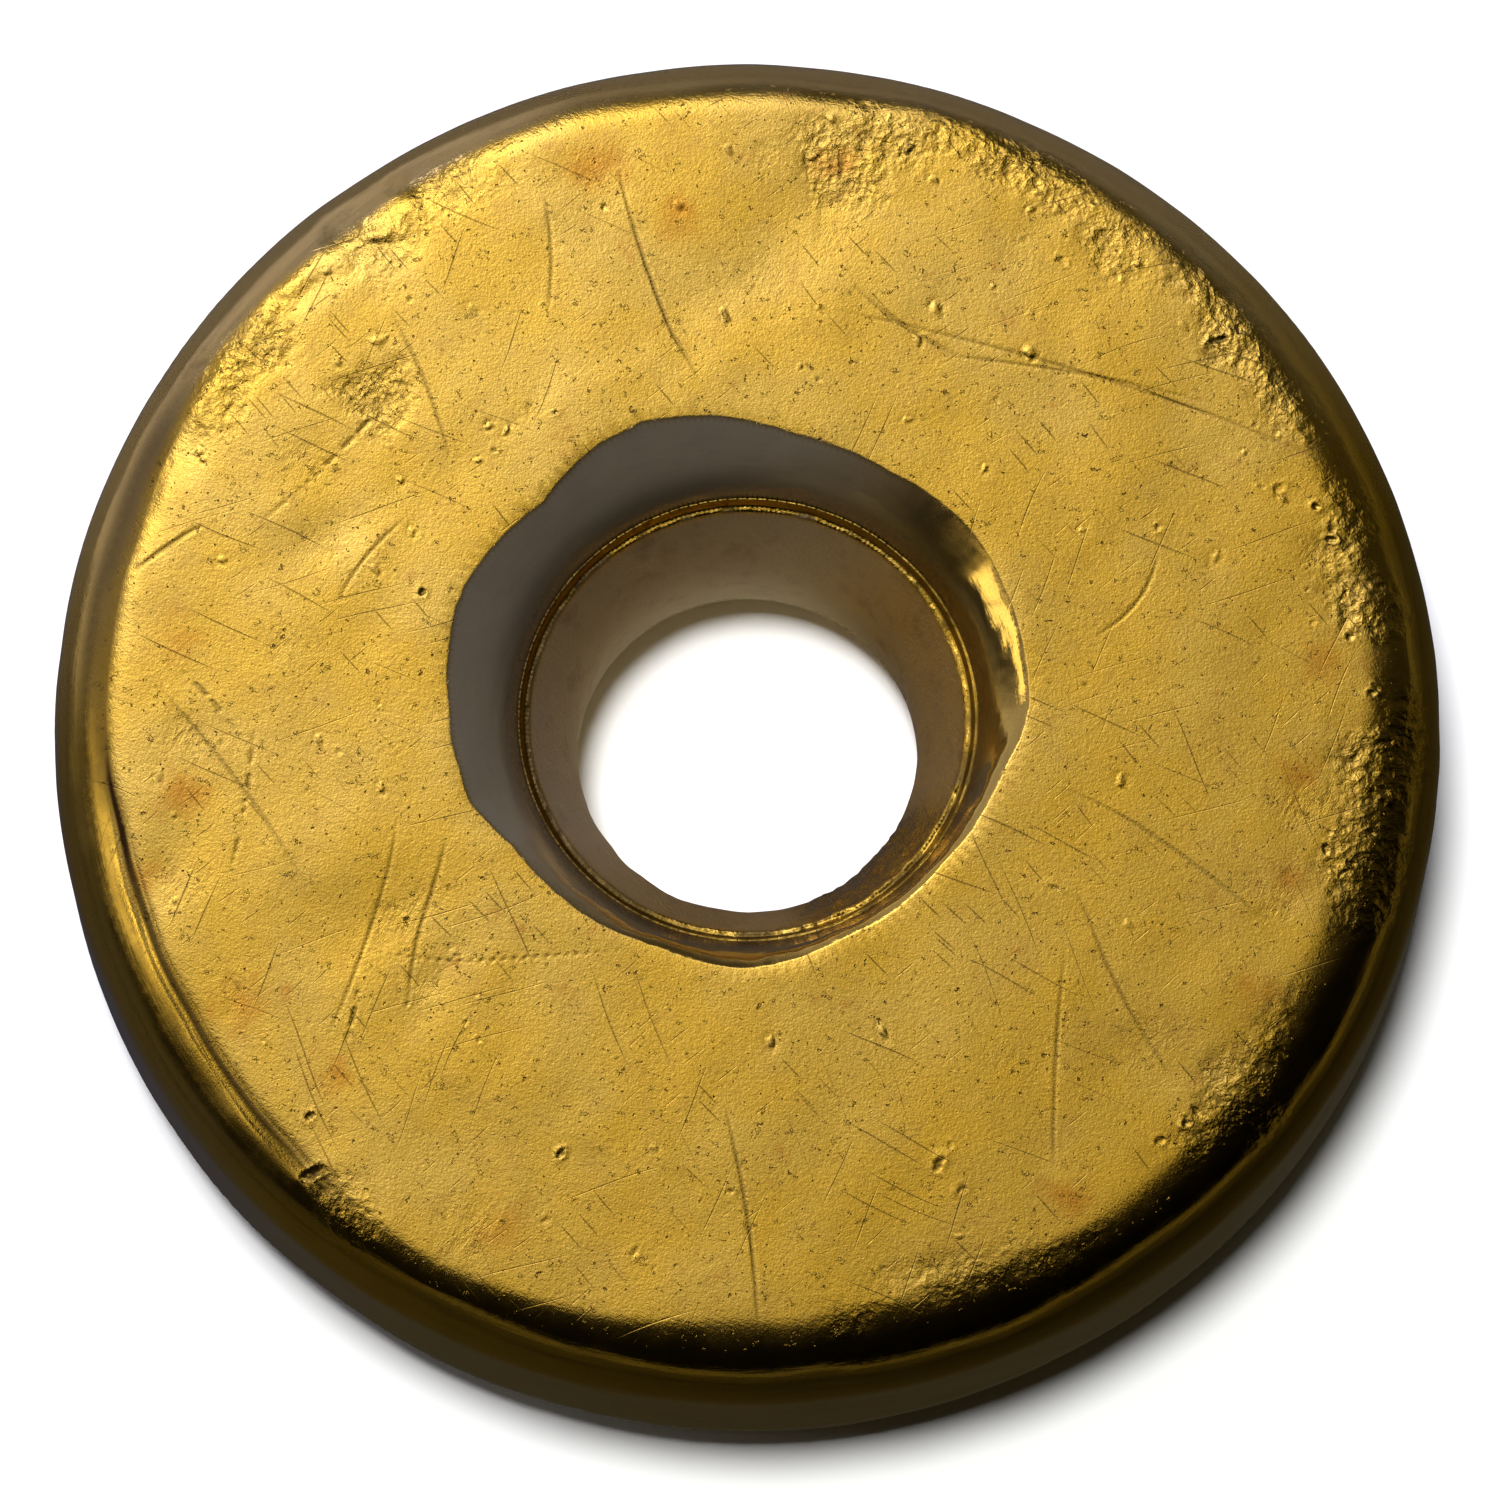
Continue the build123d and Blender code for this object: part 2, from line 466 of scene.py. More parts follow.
def build_section():
    """The zones of the section in order, each a name and its points."""
    quarter = math.pi / 2
    lip = lip_arc()
    crease = crease_arc()
    step_height = lip[0, 1]
    ledge_height = step_height - STEP_RISE
    ledge_foot = (LEDGE_RADIUS - LEDGE_WIDTH, ledge_height)
    ledge_back = (LEDGE_RADIUS, ledge_height)
    step_edge = (LEDGE_RADIUS + STEP_RUN, step_height)
    return {
        "face": np.array([tuple(crease[-1]), (FACE_RADIUS, THICKNESS)]),
        "rim": arc((FACE_RADIUS, THICKNESS - RIM_ROUND), RIM_ROUND, quarter, 0),
        "wall": np.array([(RADIUS, THICKNESS - RIM_ROUND), (RADIUS, RIM_ROUND)]),
        "low_rim": arc((FACE_RADIUS, RIM_ROUND), RIM_ROUND, 0, -quarter),
        "underside": np.array([(FACE_RADIUS, 0), (WAIST_RADIUS + WAIST_LOW, 0)]),
        "low_lip": arc((WAIST_RADIUS + WAIST_LOW, WAIST_LOW), WAIST_LOW, -quarter, -2 * quarter),
        "waist": np.array([(WAIST_RADIUS, WAIST_LOW), (WAIST_RADIUS, WAIST_MIDDLE)]),
        "cone": cone_curve(ledge_foot),
        "ledge": np.array([ledge_foot, ledge_back]),
        "riser": np.array([ledge_back, step_edge]),
        "step": np.array([step_edge, tuple(lip[0])]),
        "lip": lip,
        "crease": crease,
    }


# How finely each zone is meshed before its relief asks for more
ZONE_SIZE = {
    "face": 0.27, "rim": 0.16, "wall": 0.3, "low_rim": 0.3, "underside": 0.4, "low_lip": 0.16, "waist": 0.14,
    "cone": 0.1, "ledge": 0.05, "riser": 0.08, "step": 0.036, "lip": 0.1, "crease": 0.045,
}
COLUMNS = 144


class Section:
    """The section as one loop, looked up by distance travelled along it."""

    def __init__(self):
        self.zones = build_section()
        points, marks, travelled = [], {}, 0.0
        for name, zone in self.zones.items():
            steps = np.hypot(*np.diff(zone, axis=0).T)
            marks[name] = (travelled, travelled + steps.sum())
            distances = travelled + np.concatenate([[0], np.cumsum(steps)])
            points.append(np.column_stack([distances[:-1], zone[:-1]]))
            travelled = marks[name][1]
        first = self.zones["face"][0]
        points.append([[travelled, *first]])
        self.table = np.vstack(points)
        self.length = travelled
        self.marks = marks

    def at(self, travelled):
        """Radius and height at distances along the loop."""
        travelled = travelled % self.length
        radius = np.interp(travelled, self.table[:, 0], self.table[:, 1])
        height = np.interp(travelled, self.table[:, 0], self.table[:, 2])
        return radius, height

    def inside(self, travelled, zone, blur=0.15):
        """1 within a zone and 0 away from it, with soft ends."""
        start, end = self.marks[zone]
        middle, half = (start + end) / 2, (end - start) / 2
        away = np.abs((travelled - middle + self.length / 2) % self.length - self.length / 2)
        return soft_step(away, half + blur, half - blur)

    def rows(self):
        """Distances along the loop for the rows of the coarse mesh."""
        rows = []
        for name, (start, end) in self.marks.items():
            count = max(1, round((end - start) / (2.2 * ZONE_SIZE[name])))
            rows.extend(np.linspace(start, end, count, endpoint=False))
        return np.array(rows)

    def zone_size(self, travelled):
        """The mesh size wanted at distances along the loop."""
        size = np.full(travelled.shape, max(ZONE_SIZE.values()))
        for name, (start, end) in self.marks.items():
            here = (travelled % self.length >= start - 0.02) & (travelled % self.length <= end + 0.02)
            size[here] = np.minimum(size[here], ZONE_SIZE[name])
        return size


# ------------------------------------------------------------
# The worn shape

# How far the mouth's edge strays from a circle, by clock angle: the press left corners
MOUTH_STRAY = {
    0: -0.05, 20: 0.00, 42: 0.08, 60: -0.02, 80: 0.05, 96: 0.33,
    110: 0.52, 119: 0.46, 134: 0.18, 156: 0.46, 180: 0.24, 200: 0.14,
    212: -0.18, 250: -0.36, 270: -0.25, 290: -0.46, 320: -0.54, 345: -0.35,
}

# How far the start of the rim's roll strays in the same way
RIM_STRAY = {
    0: -0.10, 40: 0.00, 70: 0.15, 115: 0.00, 128: -0.14, 138: 0.08,
    152: 0.06, 163: -0.04, 180: -0.02, 205: -0.10, 225: 0.02, 242: 0.28,
    268: 0.05, 290: -0.20, 305: 0.00, 330: -0.30,
}


def stray(table, clock):
    """The distance from a circle at clock angles in degrees, read between the entries of a table."""
    return np.interp(clock % 360, list(table), list(table.values()), period=360)


def round_positions(section, turn, travelled):
    """Points of the round, unworn token. Turn runs from 0 to 1 around the hole."""
    radius, height = section.at(travelled)
    angle = 2 * math.pi * turn
    return np.column_stack([radius * np.cos(angle), radius * np.sin(angle), height])


class Places:
    """Where the mesh's points lie on the round token, and what their wear is worked out from."""

    PROBE = 0.01    # how far along the section the slope is measured

    def __init__(self, section, turn, travelled):
        self.section, self.travelled = section, travelled
        self.base = round_positions(section, turn, travelled)
        self.flat = self.base[:, :2]
        self.clock = 360 * turn
        self.radius = np.hypot(self.base[:, 0], self.base[:, 1])
        self.outward = self.base / self.radius[:, None]
        self.outward[:, 2] = 0

        ahead, behind = section.at(travelled + self.PROBE), section.at(travelled - self.PROBE)
        along_r, along_z = ahead[0] - behind[0], ahead[1] - behind[1]
        size = np.hypot(along_r, along_z)
        self.normal = self.outward * (-along_z / size)[:, None]
        self.normal[:, 2] = along_r / size

        zones = {name: section.inside(travelled, name) for name in section.marks}
        self.zones = zones
        self.upper = np.clip(zones["face"] + zones["crease"] + zones["lip"] + zones["rim"], 0, 1)
        self.lower = np.clip(zones["underside"] + zones["low_rim"], 0, 1)
        self.torn = np.clip(zones["cone"] + 0.5 * zones["waist"], 0, 1)
        self.steps = section.inside(travelled, "ledge", 0.06) + section.inside(travelled, "step", 0.06)

    def near(self, clock, outer, inner):
        """1 near a clock angle, and 0 far from it."""
        return near_clock(self.clock, clock, outer, inner)

    def lumps(self, size, seed):
        return lumps(self.base, size, seed)


def shift_outwards(places):
    """How far each point moves outwards, because neither the mouth nor the rim is a true circle."""
    radius, upper = places.radius, places.upper

    # The mouth strays most where the lip meets the face, and not at all at the ledge
    lip_share = soft_step(radius, LIP_FOOT, MOUTH_RADIUS)
    fade = soft_step(radius, MOUTH_RADIUS + 2.2, MOUTH_RADIUS + 0.6)
    shift = stray(MOUTH_STRAY, places.clock) * lip_share * fade * upper
    ragged = 0.025 * places.lumps(0.5, 61) + 0.010 * places.lumps(0.15, 62)
    shift += ragged * soft_step(np.abs(radius - MOUTH_RADIUS), 0.9, 0.2) * upper

    # The rim's roll starts nearer or farther out
    near_rim = np.clip(soft_step(radius, FACE_RADIUS - 1.5, FACE_RADIUS) - places.zones["wall"], 0, 1)
    wander = stray(RIM_STRAY, places.clock) + 0.06 * places.lumps(1.1, 52)
    return shift + wander * near_rim * soft_step(radius, RADIUS, FACE_RADIUS)


def rise(places, top, bottom):
    """How far each point rises along the surface's normal."""
    zones, travelled = places.zones, places.travelled
    total = top.sample(top.height, places.flat) * places.upper * (1 - 0.9 * zones["lip"])
    total += bottom.sample(bottom.height, places.flat) * places.lower
    total += 0.010 * places.lumps(0.9, 77) * zones["lip"]

    # Slow waves in the rim and the wall, and fine lines along them in the west
    waves = 0.02 * places.lumps(1.6, 71) + 0.006 * places.lumps(0.6, 72)
    lines = np.cos(travelled * 2 * np.pi / 0.28 + 2.5 * places.lumps(2.5, 80))
    waves += 0.003 * places.near(190, 80, 30) * lines
    rolled = np.clip(zones["rim"] + zones["low_rim"] + zones["wall"], 0, 1)
    total += waves * rolled * soft_step(places.radius, FACE_RADIUS, RADIUS - 0.4)

    # The torn cone is rough, most of all in the south-east, and so are the edges of the two steps
    tears = 0.010 * places.lumps(0.2, 73) + 0.02 * places.lumps(0.6, 74)
    tears += 0.045 * places.lumps(0.17, 78) * places.near(310, 30, 12)
    burr = 0.012 * places.lumps(0.1, 75) + 0.02 * places.lumps(0.5, 79)
    burr *= 1 + 1.5 * places.near(310, 40, 20)
    return total + places.torn * tears + places.steps * burr


def worn_positions(places, top, bottom):
    """Points of the worn token."""
    worn = places.base + places.normal * rise(places, top, bottom)[:, None]
    worn += places.outward * shift_outwards(places)[:, None]
    worn[:, 2] -= DOME * (places.radius / FACE_RADIUS) ** 2 * (2 * places.base[:, 2] / THICKNESS - 1)

    # Nothing stands proud of the token that the frame describes
    wide = np.hypot(worn[:, 0], worn[:, 1])
    worn[:, :2] *= np.minimum(1, RADIUS / wide)[:, None]
    worn[:, 2] = np.clip(worn[:, 2], 0, THICKNESS + 0.03)
    return worn


def bare_steps(places):
    """Where the two steps are left bare of painted shade and of the film, so that their reflection shows: in
    broken lengths, and not in the west.
    """
    broken = soft_step(places.lumps(0.35, 81), -0.45, 0.2)
    return places.steps * (1 - places.near(195, 75, 40)) * broken


def painted_shade(places):
    """Painted shade: over the steps except along their bare lengths, in the recess at the riser and the lip's
    foot, in bands along the rim, and on the eastern lip.
    """
    radius, rim = places.radius, places.zones["rim"]
    lip = places.section.inside(places.travelled, "lip", 0.03)
    riser = places.section.inside(places.travelled, "riser", 0.03)
    # Painted shade in the recess at the riser and at the foot of the lip.
    corner = riser + lip * soft_step(radius, LIP_FOOT + 0.45, LIP_FOOT + 0.05)
    # Painted shade in bands on the western and south-western rim, where it darkens the windows' reflection,
    # and a dark painted line along the fold.
    western_rim = soft_step(radius, 10.97, 11.03) * soft_step(radius, 11.7, 11.4) * places.near(170, 28, 14)
    outer_rim = soft_step(radius, 11.22, 11.30) * soft_step(radius, 11.8, 11.5) * places.near(204, 34, 20)
    fold = soft_step(radius, 10.94, 10.98) * soft_step(radius, 11.12, 11.06) * places.near(207, 26, 14)
    # Painted shade on the eastern lip, over a reflection of the room.
    eastern_lip = lip * soft_step(radius, LIP_FOOT + 0.2, LIP_FOOT + 0.6) * places.near(43, 15, 5)
    # Painted shade over the steps, which hides their reflection except along the bare lengths.
    total = np.clip(0.75 * corner + places.steps, 0, 1) * (1 - bare_steps(places))
    total += rim * (np.maximum(0.8 * western_rim, 0.6 * outer_rim) + fold)
    return total + 0.7 * eastern_lip


def film_and_painted_haze(places):
    """A grey film in the mouth, thinner in the east, and on the northern side of the rim: partly dust, and
    partly a painted haze of light over the dark reflections there.
    """
    lip = places.section.inside(places.travelled, "lip", 0.03)
    throat = np.clip(places.zones["cone"] + places.zones["waist"] + places.zones["low_lip"], 0, 1)
    north_west = places.near(145, 112, 60)
    total = lip * (0.14 + 0.86 * north_west)
    total += throat * (0.38 + 0.62 * north_west) * (1 - 0.9 * places.near(310, 34, 18))
    # On the northern rim the film is a painted grey haze over the rim's reflection.
    rolled = soft_step(places.radius, FACE_RADIUS + 0.30 * RIM_ROUND, FACE_RADIUS + 0.45 * RIM_ROUND)
    total += 0.4 * rolled * places.near(102, 88, 48)
    return total - bare_steps(places)


def point_masks(places, top, bottom):
    """The masks that the material reads, one value for each point."""
    on_top = np.clip(places.zones["face"] + places.zones["rim"], 0, 1)

    def both_faces(name):
        above = top.sample(getattr(top, name), places.flat) * on_top
        return above + bottom.sample(getattr(bottom, name), places.flat) * places.lower

    polished = places.section.inside(places.travelled, "lip", 0.03) + 0.5 * places.steps
    polished += soft_step(places.radius, FACE_RADIUS + 0.30 * RIM_ROUND, FACE_RADIUS + 0.5 * RIM_ROUND)
    return {
        # Dirt in scratches, pits and folds, plus painted shade on the steps, in corners and in bands of the
        # rim and lip.
        "grime": both_faces("grime") + painted_shade(places),
        "stains": both_faces("stains"),
        "wrinkles": both_faces("wrinkles"),
        "smudges": both_faces("smudges"),
        # A grey film: partly dust, and partly a painted haze of light.
        "dust": np.clip(film_and_painted_haze(places), 0, 1),
        "polished": np.clip(polished, 0, 1),
        "torn": places.torn,
    }


# ------------------------------------------------------------
# The mesh: a coarse net around the loop, split until every edge is as short as its place asks


def coarse_net(section):
    """Corners as turn and distance along the loop, and the triangles between them."""
    rows = section.rows()
    turn, travelled = np.meshgrid(np.arange(COLUMNS) / COLUMNS, rows, indexing="ij")
    index = np.arange(turn.size).reshape(turn.shape)
    right, up = np.roll(index, -1, axis=0), np.roll(index, -1, axis=1)
    across = np.roll(right, -1, axis=1)
    one = np.column_stack([index.ravel(), right.ravel(), across.ravel()])
    two = np.column_stack([index.ravel(), across.ravel(), up.ravel()])
    return np.column_stack([turn.ravel(), travelled.ravel()]), np.vstack([one, two])


def midway(corners, pairs, loop_length):
    """The middle of each pair of corners, the short way around both loops."""
    first, second = corners[pairs[:, 0]], corners[pairs[:, 1]]
    loops = np.array([1.0, loop_length])
    gap = second - first
    gap -= np.round(gap / loops) * loops
    return (first + gap / 2) % loops


def split_long_edges(corners, triangles, too_long, loop_length):
    """One pass: splits the marked edges, and each touched triangle's longest edge, to keep shapes good."""
    sides = np.sort(triangles[:, [[0, 1], [1, 2], [2, 0]]].reshape(-1, 2), axis=1)
    keys, owner = np.unique(sides[:, 0] * len(corners) + sides[:, 1], return_inverse=True)
    pairs = np.column_stack(np.divmod(keys, len(corners)))
    owner = owner.reshape(-1, 3)
    marked, lengths = too_long(corners, pairs)
    if not marked.any():
        return corners, triangles, False
    longest = owner[np.arange(len(owner)), lengths[owner].argmax(axis=1)]
    while True:
        spread = marked[owner].any(axis=1) & ~marked[longest]
        if not spread.any():
            break
        marked[longest[spread]] = True
    middle = np.full(len(pairs), -1)
    middle[marked] = len(corners) + np.arange(marked.sum())
    corners = np.vstack([corners, midway(corners, pairs[marked], loop_length)])

    # Turn every triangle so that its longest edge comes first, then cut it into two, three or four
    shift = (lengths[owner].argmax(axis=1)[:, None] + np.arange(3)) % 3
    turned = np.take_along_axis(triangles, shift, axis=1)
    cuts = np.take_along_axis(middle[owner], shift, axis=1)
    a, b, c = turned.T
    base_cut, right_cut, left_cut = cuts.T
    whole = base_cut < 0
    right_half, left_half = ~whole & (right_cut < 0), ~whole & (left_cut < 0)
    right_two, left_two = ~whole & (right_cut >= 0), ~whole & (left_cut >= 0)
    pieces = [
        turned[whole],
        np.column_stack([base_cut, b, c])[right_half],
        np.column_stack([a, base_cut, c])[left_half],
        np.column_stack([base_cut, b, right_cut])[right_two],
        np.column_stack([base_cut, right_cut, c])[right_two],
        np.column_stack([a, base_cut, left_cut])[left_two],
        np.column_stack([base_cut, c, left_cut])[left_two],
    ]
    return corners, np.vstack(pieces), True


def fine_net(section, top, bottom):
    """The coarse net, split where the zone or the relief asks for it."""
    reliefs = ((top, "face", "rim"), (bottom, "underside", "low_rim"))

    def too_long(corners, pairs):
        ends = round_positions(section, corners[:, 0], corners[:, 1])
        lengths = np.linalg.norm(ends[pairs[:, 0]] - ends[pairs[:, 1]], axis=1)
        middle = midway(corners, pairs, section.length)
        places = round_positions(section, middle[:, 0], middle[:, 1])
        wanted = section.zone_size(middle[:, 1])
        for relief, face, rim in reliefs:
            near = (section.inside(middle[:, 1], face) + section.inside(middle[:, 1], rim)) > 0.5
            size = relief.sample(relief.mesh_size, places[near, :2])
            wanted[near] = np.minimum(wanted[near], size)
        return lengths > 1.4 * wanted, lengths

    corners, triangles = coarse_net(section)
    again = True
    while again:
        corners, triangles, again = split_long_edges(corners, triangles, too_long, section.length)
    return corners, triangles


def build_token():
    """The worn token as one closed mesh object, with its masks stored on the points."""
    section = Section()
    top, bottom = top_relief(), bottom_relief()
    corners, triangles = fine_net(section, top, bottom)
    places = Places(section, corners[:, 0], corners[:, 1])
    points = worn_positions(places, top, bottom)
    mesh = bpy.data.meshes.new("worn_token")
    mesh.from_pydata((points * MM).tolist(), [], triangles.tolist())
    mesh.polygons.foreach_set("use_smooth", np.ones(len(triangles), bool))
    for name, values in point_masks(places, top, bottom).items():
        attribute = mesh.attributes.new(name, "FLOAT", "POINT")
        attribute.data.foreach_set("value", values.astype(np.float32))
    mesh.update()
    token = bpy.data.objects.new("worn_token", mesh)
    bpy.context.scene.collection.objects.link(token)
    return token


# ------------------------------------------------------------
# Node helpers


class Tree:
    """A node tree with short calls, so that a material reads as a list of layers."""

    def __init__(self, owner):
        owner.use_nodes = True
        self.tree = owner.node_tree
        self.tree.nodes.clear()

    def add(self, kind, inputs=None, **settings):
        """Adds a node, sets its options, and fills or links its inputs."""
        node = self.tree.nodes.new(kind)
        for name, value in settings.items():
            setattr(node, name, value)
        for name, value in (inputs or {}).items():
            if isinstance(value, bpy.types.NodeSocket):
                self.tree.links.new(value, node.inputs[name])
            else:
                node.inputs[name].default_value = value
        return node

    def maths(self, operation, first, second=0.0):
        return self.add("ShaderNodeMath", {0: first, 1: second}, operation=operation).outputs[0]

    def times(self, *values):
        return functools.reduce(functools.partial(self.maths, "MULTIPLY"), values)

    def plus(self, *values):
        return functools.reduce(functools.partial(self.maths, "ADD"), values)

    def step(self, value, start, end, low=0.0, high=1.0):
        """Low before start, high after end, smooth between."""
        inputs = {"Value": value, "From Min": start, "From Max": end, "To Min": low, "To Max": high}
        return self.add("ShaderNodeMapRange", inputs, interpolation_type="SMOOTHSTEP").outputs[0]

    def colour_mix(self, share, first, second):
        """The first colour, giving way to the second by a share."""
        share_socket, first_socket, second_socket = 0, 6, 7      # the node's inputs for colours
        inputs = {share_socket: share, first_socket: first, second_socket: second}
        return self.add("ShaderNodeMix", inputs, data_type="RGBA").outputs[2]

    def noise(self, place, size, detail=2.0, rough=0.5, stretch=(1, 1, 1), heading=0.0):
        """Noise with bumps of about a size, in the place's own units."""
        scale = tuple(share / size for share in stretch)
        turn = self.add("ShaderNodeMapping", {"Vector": place, "Rotation": (0, 0, math.radians(-heading))})
        sized = self.add("ShaderNodeMapping", {"Vector": turn.outputs[0], "Scale": scale})
        inputs = {"Vector": sized.outputs[0], "Scale": 1.0, "Detail": detail, "Roughness": rough}
        return self.add("ShaderNodeTexNoise", inputs).outputs["Fac"]

    def facets(self, place, size):
        """Small dished facets with sharp ridges between them, bent out of line: 0 at each middle."""
        bends = self.add("ShaderNodeTexNoise", {"Vector": place, "Scale": 0.8 / size, "Detail": 2.0})
        inputs = {0: bends.outputs["Color"], 1: (size, size, size), 2: place}
        bent = self.add("ShaderNodeVectorMath", inputs, operation="MULTIPLY_ADD")
        cells = self.add("ShaderNodeTexVoronoi", {"Vector": bent.outputs[0], "Scale": 1 / size})
        return cells.outputs["Distance"]

    def mask(self, name):
        """A value stored on the mesh's points."""
        return self.add("ShaderNodeAttribute", attribute_name=name).outputs["Fac"]


def colour(red, green, blue):
    """A colour from display values of 0 to 255, as the linear values that nodes take."""
    return tuple((value / 255) ** 2.2 for value in (red, green, blue)) + (1.0,)


# ------------------------------------------------------------
# The metal


def hairlines(tree, place, bow, heading, length, width, share, seed):
    """Short, fine scratches in one direction: up to 1 on a scratch, and 0 elsewhere."""
    shifted = tree.add("ShaderNodeMapping", {"Vector": place, "Location": (seed * 3.7, seed * 1.9, 0)})
    turn = (0, 0, math.radians(-heading))
    turned = tree.add("ShaderNodeMapping", {"Vector": shifted.outputs[0], "Rotation": turn})
    parts = tree.add("ShaderNodeSeparateXYZ", {"Vector": turned.outputs[0]})
    lengthwise = tree.maths("DIVIDE", parts.outputs["X"], length)
    sideways = tree.maths("DIVIDE", tree.plus(parts.outputs["Y"], bow), width)
    stretched = tree.add("ShaderNodeCombineXYZ", {"X": lengthwise, "Y": sideways}).outputs[0]
    cells = tree.add("ShaderNodeTexVoronoi", {"Vector": stretched, "Scale": 1.0}, voronoi_dimensions="2D")
    line = tree.step(cells.outputs["Distance"], 0.07, 0.02)
    chance = tree.add("ShaderNodeSeparateColor", {"Color": cells.outputs["Color"]}).outputs[0]
    return tree.times(line, tree.step(chance, 1 - share, 1.0))


def scratch_layers(tree, place):
    """Hairlines in many directions, laid over each other."""
    bow = tree.times(tree.noise(place, 2.5, detail=0.0), 0.35)
    layers = [
        hairlines(tree, place, bow, heading, length, width, share, seed)
        for heading, length, width, share, seed in (
            (18, 15.0, 0.22, 0.55, 1),
            (68, 12.0, 0.24, 0.50, 2),
            (112, 18.0, 0.24, 0.55, 3),
            (155, 14.0, 0.24, 0.60, 4),
            (40, 4.0, 0.20, 0.70, 5),
            (130, 5.0, 0.20, 0.70, 6),
        )
    ]
    return functools.reduce(functools.partial(tree.maths, "MAXIMUM"), layers)


def streaks_around(tree, place):
    """Noise in radius, height and angle, which runs in streaks along the rim and the lip."""
    across = tree.add("ShaderNodeSeparateXYZ", {"Vector": place})
    level = tree.add("ShaderNodeVectorMath", {0: place, 1: (1, 1, 0)}, operation="MULTIPLY").outputs[0]
    radius = tree.add("ShaderNodeVectorMath", {0: level}, operation="LENGTH").outputs["Value"]
    angle = tree.maths("ABSOLUTE", tree.maths("ARCTAN2", across.outputs["Y"], across.outputs["X"]))
    around = tree.add("ShaderNodeCombineXYZ", {"X": radius, "Y": across.outputs["Z"], "Z": angle})
    return tree.noise(around.outputs[0], 0.12, detail=4.0, rough=0.6)


def wear_of_metal(tree, place):
    """The masks stored on the mesh, and the patterns that the colour, roughness and height share."""
    wear = SimpleNamespace()
    for name in ("grime", "stains", "wrinkles", "smudges", "dust", "torn", "polished"):
        setattr(wear, name, tree.mask(name))
    flat = tree.maths("SUBTRACT", 1.0, tree.maths("MAXIMUM", wear.dust, wear.polished))
    specks = tree.noise(place, 0.13, detail=2.0, rough=0.6)
    dings = tree.noise(place, 0.19, detail=3.0, rough=0.7, heading=20)
    wear.flat = flat
    wear.mostly_flat = tree.plus(tree.times(flat, 0.85), 0.15)
    wear.lines = tree.times(scratch_layers(tree, place), wear.mostly_flat)
    wear.specks = tree.times(tree.step(specks, 0.68, 0.76), flat)
    wear.dings = tree.times(tree.step(dings, 0.64, 0.68), flat)
    wear.dirt_marks = tree.noise(place, 0.13, detail=4.0, rough=0.75, stretch=(0.6, 1.3, 1), heading=60)
    wear.fine_grain = tree.noise(place, 0.04, detail=1.0, rough=0.6)
    wear.cloudy = tree.noise(place, 0.7, detail=4.0, rough=0.65)
    wear.streaks = streaks_around(tree, place)
    return wear


def metal_colour(tree, place, wear):
    """Yellow metal, layer by layer under its stains, scratches, dirt, painted shade, and a grey film that is
    partly painted haze.
    """
    times, step = tree.times, tree.step
    slow = tree.noise(place, 2.4, detail=3.0, rough=0.55)
    mottle = tree.noise(place, 0.3, detail=4.0, rough=0.7)
    faint_stains = times(step(wear.cloudy, 0.60, 0.72), step(slow, 0.50, 0.62), 0.35)
    stains = tree.plus(times(wear.stains, 0.5), times(faint_stains, wear.flat))
    dirt = times(step(wear.dirt_marks, 0.53, 0.62), wear.smudges)
    gold = tree.colour_mix(step(slow, 0.35, 0.65), colour(254, 199, 68), colour(252, 202, 82))
    for share, layer in (
        (step(wear.cloudy, 0.52, 0.75, 0.0, 0.2), colour(222, 168, 80)),
        (step(wear.fine_grain, 0.45, 0.75, 0.0, 0.3), colour(205, 150, 66)),
        (times(step(mottle, 0.5, 0.7, 0.0, 0.3), wear.flat), colour(212, 158, 64)),
        (stains, colour(206, 112, 26)),
        (times(wear.polished, step(wear.streaks, 0.5, 0.7), 0.25), colour(170, 118, 44)),
        (times(wear.lines, 0.4), colour(104, 68, 24)),
        (times(wear.specks, 0.6), colour(96, 62, 26)),
        (times(dirt, 0.7), colour(92, 60, 26)),
        # A grey film: partly dust, and partly a painted haze of light.
        (times(wear.dust, 0.68), colour(206, 200, 174)),
        # Dirt, and painted shade over the steps, in corners and in bands of the rim and lip.
        (times(wear.grime, 0.85), colour(70, 50, 28)),
        (times(wear.torn, step(wear.cloudy, 0.5, 0.8), 0.4), colour(150, 96, 48)),
    ):
        gold = tree.colour_mix(share, gold, layer)
    return gold


def metal_roughness(tree, wear):
    """Smoothest where it is polished, and rough in the scratches, in the grime and the painted shade, and in
    the film on the torn cone.
    """
    times = tree.times
    return tree.plus(
        tree.step(wear.cloudy, 0.3, 0.7, 0.18, 0.27),
        times(wear.polished, -0.10),
        times(wear.torn, wear.dust, 0.36),
        times(wear.lines, 0.1),
        times(wear.grime, 0.2),
    )


def metal_height(tree, place, wear):
    """Detail too fine for the mesh, as heights in millimetres."""
    times = tree.times
    grain = tree.noise(place, 0.08, detail=3.0, rough=0.7, stretch=(0.85, 1.1, 1), heading=-35)
    folds = tree.plus(tree.facets(place, 0.15), tree.noise(place, 0.085, detail=3.0, rough=0.6))
    torn_grain = tree.noise(place, 0.07, detail=2.0, rough=0.65)
    return tree.plus(
        times(grain, 0.0055, wear.mostly_flat),
        times(wear.fine_grain, 0.0030, wear.mostly_flat),
        times(wear.lines, -0.003),
        times(wear.specks, -0.008),
        times(wear.dings, 0.011),
        times(folds, wear.wrinkles, 0.014),
        times(wear.dirt_marks, wear.smudges, 0.014),
        times(wear.streaks, wear.polished, 0.004),
        times(torn_grain, wear.torn, 0.035),
    )


